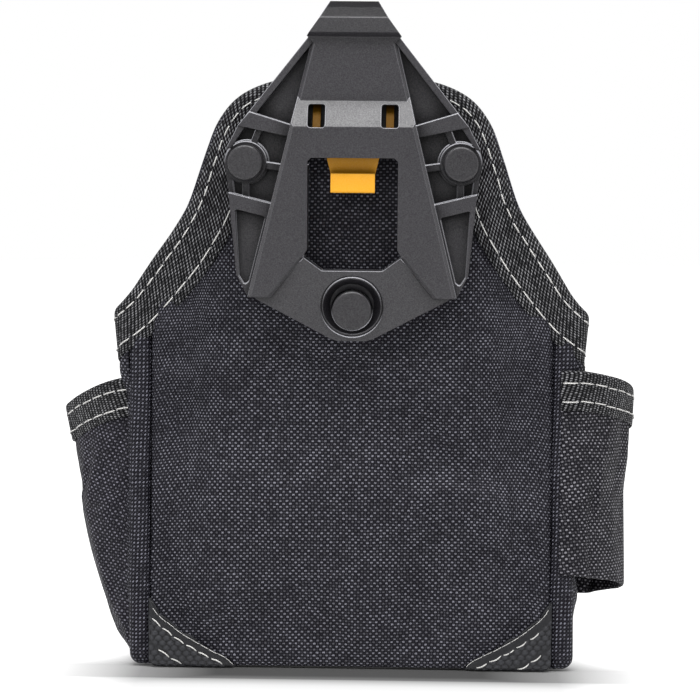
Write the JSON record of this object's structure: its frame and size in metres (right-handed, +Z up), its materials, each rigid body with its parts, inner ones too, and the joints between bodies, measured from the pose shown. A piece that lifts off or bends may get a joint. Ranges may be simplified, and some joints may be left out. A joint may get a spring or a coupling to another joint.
{
  "type": "electrician tool pouch",
  "caption": "Sewn belt tool pouch with an open main compartment, side and front pockets, and a moulded plastic clip-on hub with a release latch.",
  "frame": {"origin": "middle of the base's underside, on the ground plane, half way between the back and front walls and between the side walls", "axes": "+Z up, from base to hub; -Y out of the back wall towards the wearer, where the hub is; +X to the right when looking at the hub, the side with the open sleeve"},
  "size_m": [0.1988, 0.1069, 0.2247],
  "materials": {
    "body_cloth": "matte",
    "pocket_cloth": "matte",
    "lining": "matte",
    "webbing": "matte",
    "thread": "matte",
    "corner_patch": "satin",
    "stiffener": "matte",
    "hub_plastic": "satin",
    "latch_plastic": "satin",
    "rivet_black": "satin",
    "steel": "satin"
  },
  "bodies": {
    "pouch": {"back_panel": "body_cloth", "back_stiffener": "stiffener", "back_lining": "lining", "mouth_binding": "webbing", "side_wall_left": "body_cloth", "side_wall_right": "body_cloth", "corner_welt_left": "pocket_cloth", "corner_welt_right": "pocket_cloth", "base_panel": "body_cloth", "base_board": "stiffener", "front_panel": "body_cloth", "front_panel_binding": "webbing", "front_pocket": "pocket_cloth", "front_pocket_binding": "webbing", "tool_slot_pocket": "pocket_cloth", "tool_slot_binding": "webbing", "left_pocket": "pocket_cloth", "left_pocket_binding": "webbing", "right_sleeve": "pocket_cloth", "right_sleeve_binding": "webbing", "corner_patches": "corner_patch", "hub_frame": "hub_plastic", "hub_back_plate": "hub_plastic", "latch_pin": "steel", "latch_spring": "steel", "side_rivets": "rivet_black", "lower_rivet": "rivet_black", "rivet_washers": "steel"},
    "latch": {"release_latch": "latch_plastic"}
  },
  "joints": [
    {"name": "latch_pivot", "type": "hinge", "parent": "pouch", "child": "latch", "pos_m": [0, -0.0376, 0.2], "axis": [1, 0, 0], "range_deg": [0, 8], "stiffness_Nm_per_rad": 0.15, "deforming": ["latch_spring"]}
  ]
}
